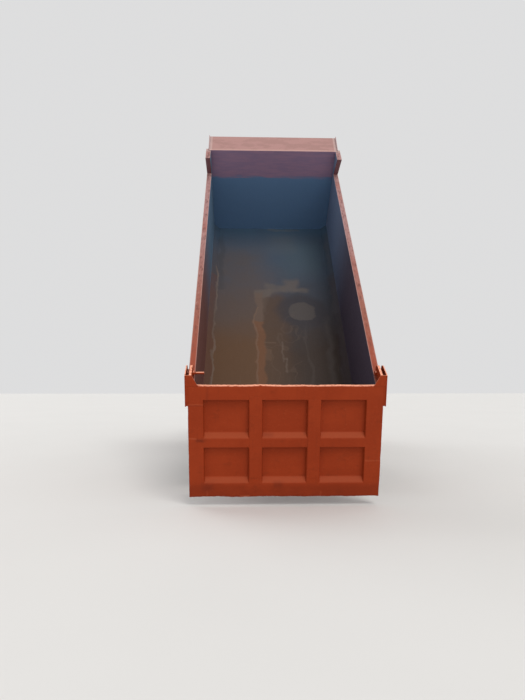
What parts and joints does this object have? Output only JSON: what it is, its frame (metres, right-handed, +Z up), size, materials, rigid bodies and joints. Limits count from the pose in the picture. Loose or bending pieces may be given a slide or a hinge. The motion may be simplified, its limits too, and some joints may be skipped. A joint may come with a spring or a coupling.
{
  "type": "dump truck",
  "caption": "Three-axle tipping lorry with a tilting cab, a high-sided steel bed raised by a telescopic front hoist and a top-hung tailgate.",
  "frame": {"origin": "on the ground, at the middle of the whole box with the bed raised", "axes": "+Y towards the back of the truck, +X towards its left side, +Z up"},
  "size_m": [2.93, 9.0376, 6.2046],
  "materials": {
    "orange_paint": "weathered gloss paint",
    "bed_paint": "faded and scratched paint",
    "bed_steel": "worn bare steel with dried mud",
    "frame_paint": "dusty black chassis paint",
    "cast_iron": "oily",
    "tyre": "matt, dusty",
    "rim_paint": "dusty silver paint",
    "glass": "clear",
    "lamp": "clear lens",
    "red_lamp": "red lens",
    "black_plastic": "grained",
    "interior": "grained",
    "fabric": "woven",
    "tank": "brushed, dusty",
    "rod_chrome": "bright"
  },
  "bodies": {
    "chassis": {"chassis_frame": "frame_paint", "subframe": "frame_paint", "front_bumper": "orange_paint", "headlamps": "lamp", "engine_block": "cast_iron", "rear_axles": "cast_iron", "propshafts": "cast_iron", "front_axle": "cast_iron", "leaf_springs": "cast_iron", "fuel_tank": "tank", "battery_box": "black_plastic", "oil_tank": "orange_paint", "air_cleaner": "black_plastic", "air_tanks": "frame_paint", "silencer": "cast_iron", "rear_mudguards": "black_plastic", "rear_bar": "frame_paint", "tail_lamps": "red_lamp", "cab_mounts": "frame_paint", "front_steps": "black_plastic"},
    "cab": {"cab_floor": "orange_paint", "cab_sides": "orange_paint", "cab_front_wall": "orange_paint", "cab_back_wall": "orange_paint", "cab_roof": "orange_paint", "cab_glass": "glass", "dashboard": "interior", "seats": "fabric", "steering_wheel": "interior", "mirrors": "black_plastic"},
    "service_panel": {"front_panel": "orange_paint"},
    "left_door": {"door_left": "orange_paint", "door_glass_left": "glass"},
    "right_door": {"door_right": "orange_paint", "door_glass_right": "glass"},
    "left_knuckle": {"knuckle_left": "cast_iron"},
    "right_knuckle": {"knuckle_right": "cast_iron"},
    "left_front_wheel": {"front_tyre_left": "tyre", "front_rim_left": "rim_paint"},
    "right_front_wheel": {"front_tyre_right": "tyre", "front_rim_right": "rim_paint"},
    "bed": {"bed_floor": "bed_steel", "bed_side_left": "bed_paint", "bed_side_right": "bed_paint", "headboard": "bed_paint", "cab_guard": "bed_paint"},
    "gate": {"tailgate": "orange_paint"},
    "barrel": {"hoist_barrel": "frame_paint"},
    "stage_1": {"hoist_stage_1": "rod_chrome"},
    "stage_2": {"hoist_stage_2": "rod_chrome"},
    "stage_3": {"hoist_stage_3": "rod_chrome"},
    "piston_rod": {"hoist_rod": "rod_chrome"},
    "rear_wheels_1_left": {"rear_tyres_1_left": "tyre", "rear_rims_1_left": "rim_paint"},
    "rear_wheels_1_right": {"rear_tyres_1_right": "tyre", "rear_rims_1_right": "rim_paint"},
    "rear_wheels_2_left": {"rear_tyres_2_left": "tyre", "rear_rims_2_left": "rim_paint"},
    "rear_wheels_2_right": {"rear_tyres_2_right": "tyre", "rear_rims_2_right": "rim_paint"}
  },
  "joints": [
    {"name": "cab_tilt", "type": "hinge", "parent": "chassis", "child": "cab", "pos_m": [0, -4.4188, 0.9], "axis": [1, 0, 0], "range_deg": [0, 50]},
    {"name": "panel_lift", "type": "hinge", "parent": "cab", "child": "service_panel", "pos_m": [0, -4.4768, 1.768], "axis": [-1, 0, 0], "range_deg": [0, 75]},
    {"name": "left_door_swing", "type": "hinge", "parent": "cab", "child": "left_door", "pos_m": [1.214, -4.3518, 1.5], "axis": [0, 0, -1], "range_deg": [0, 70]},
    {"name": "right_door_swing", "type": "hinge", "parent": "cab", "child": "right_door", "pos_m": [-1.214, -4.3518, 1.5], "axis": [0, 0, 1], "range_deg": [0, 70]},
    {"name": "left_steer", "type": "hinge", "parent": "chassis", "child": "left_knuckle", "pos_m": [0.88, -3.1688, 0.555], "axis": [0, 0, 1], "range_deg": [-35, 35]},
    {"name": "right_steer", "type": "hinge", "parent": "chassis", "child": "right_knuckle", "pos_m": [-0.88, -3.1688, 0.555], "axis": [0, 0, 1], "range_deg": [-35, 35]},
    {"name": "left_front_roll", "type": "hinge", "parent": "left_knuckle", "child": "left_front_wheel", "pos_m": [1.02, -3.1688, 0.555], "axis": [1, 0, 0], "continuous": true},
    {"name": "right_front_roll", "type": "hinge", "parent": "right_knuckle", "child": "right_front_wheel", "pos_m": [-1.02, -3.1688, 0.555], "axis": [1, 0, 0], "continuous": true},
    {"name": "rear_roll_1_left", "type": "hinge", "parent": "chassis", "child": "rear_wheels_1_left", "pos_m": [0.9, 0.63119, 0.555], "axis": [1, 0, 0], "continuous": true},
    {"name": "rear_roll_1_right", "type": "hinge", "parent": "chassis", "child": "rear_wheels_1_right", "pos_m": [-0.9, 0.63119, 0.555], "axis": [1, 0, 0], "continuous": true},
    {"name": "rear_roll_2_left", "type": "hinge", "parent": "chassis", "child": "rear_wheels_2_left", "pos_m": [0.9, 1.9812, 0.555], "axis": [1, 0, 0], "continuous": true},
    {"name": "rear_roll_2_right", "type": "hinge", "parent": "chassis", "child": "rear_wheels_2_right", "pos_m": [-0.9, 1.9812, 0.555], "axis": [1, 0, 0], "continuous": true},
    {"name": "bed_tilt", "type": "hinge", "parent": "chassis", "child": "bed", "pos_m": [0, 2.63119, 1.04], "axis": [1, 0, 0], "range_deg": [0, 51.5]},
    {"name": "gate_swing", "type": "hinge", "parent": "bed", "child": "gate", "pos_m": [0, 4.26897, 1.70386], "axis": [1, 0, 0], "range_deg": [-37.5, 60]},
    {"name": "barrel_swing", "type": "hinge", "parent": "chassis", "child": "barrel", "pos_m": [0, -2.3188, 1], "axis": [1, 0, 0], "range_deg": [0, 30.93]},
    {"name": "stage_1_slide", "type": "slide", "parent": "barrel", "child": "stage_1", "axis": [0, 0.5132, 0.8583], "range_m": [-1.0531, 0]},
    {"name": "stage_2_slide", "type": "slide", "parent": "stage_1", "child": "stage_2", "axis": [0, 0.5132, 0.8583], "range_m": [-1.0531, 0]},
    {"name": "stage_3_slide", "type": "slide", "parent": "stage_2", "child": "stage_3", "axis": [0, 0.5132, 0.8583], "range_m": [-1.0531, 0]},
    {"name": "piston_rod_slide", "type": "slide", "parent": "stage_3", "child": "piston_rod", "axis": [0, 0.5132, 0.8583], "range_m": [-1.0531, 0]}
  ],
  "couplings": [
    {"joint": "right_steer", "follows": "left_steer", "ratio": 1},
    {"joint": "barrel_swing", "follows": "bed_tilt", "ratio": 0.59959},
    {"joint": "stage_1_slide", "follows": "bed_tilt", "m_per_rad": -1.1694},
    {"joint": "stage_2_slide", "follows": "bed_tilt", "m_per_rad": -1.1694},
    {"joint": "stage_3_slide", "follows": "bed_tilt", "m_per_rad": -1.1694},
    {"joint": "piston_rod_slide", "follows": "bed_tilt", "m_per_rad": -1.1694}
  ]
}
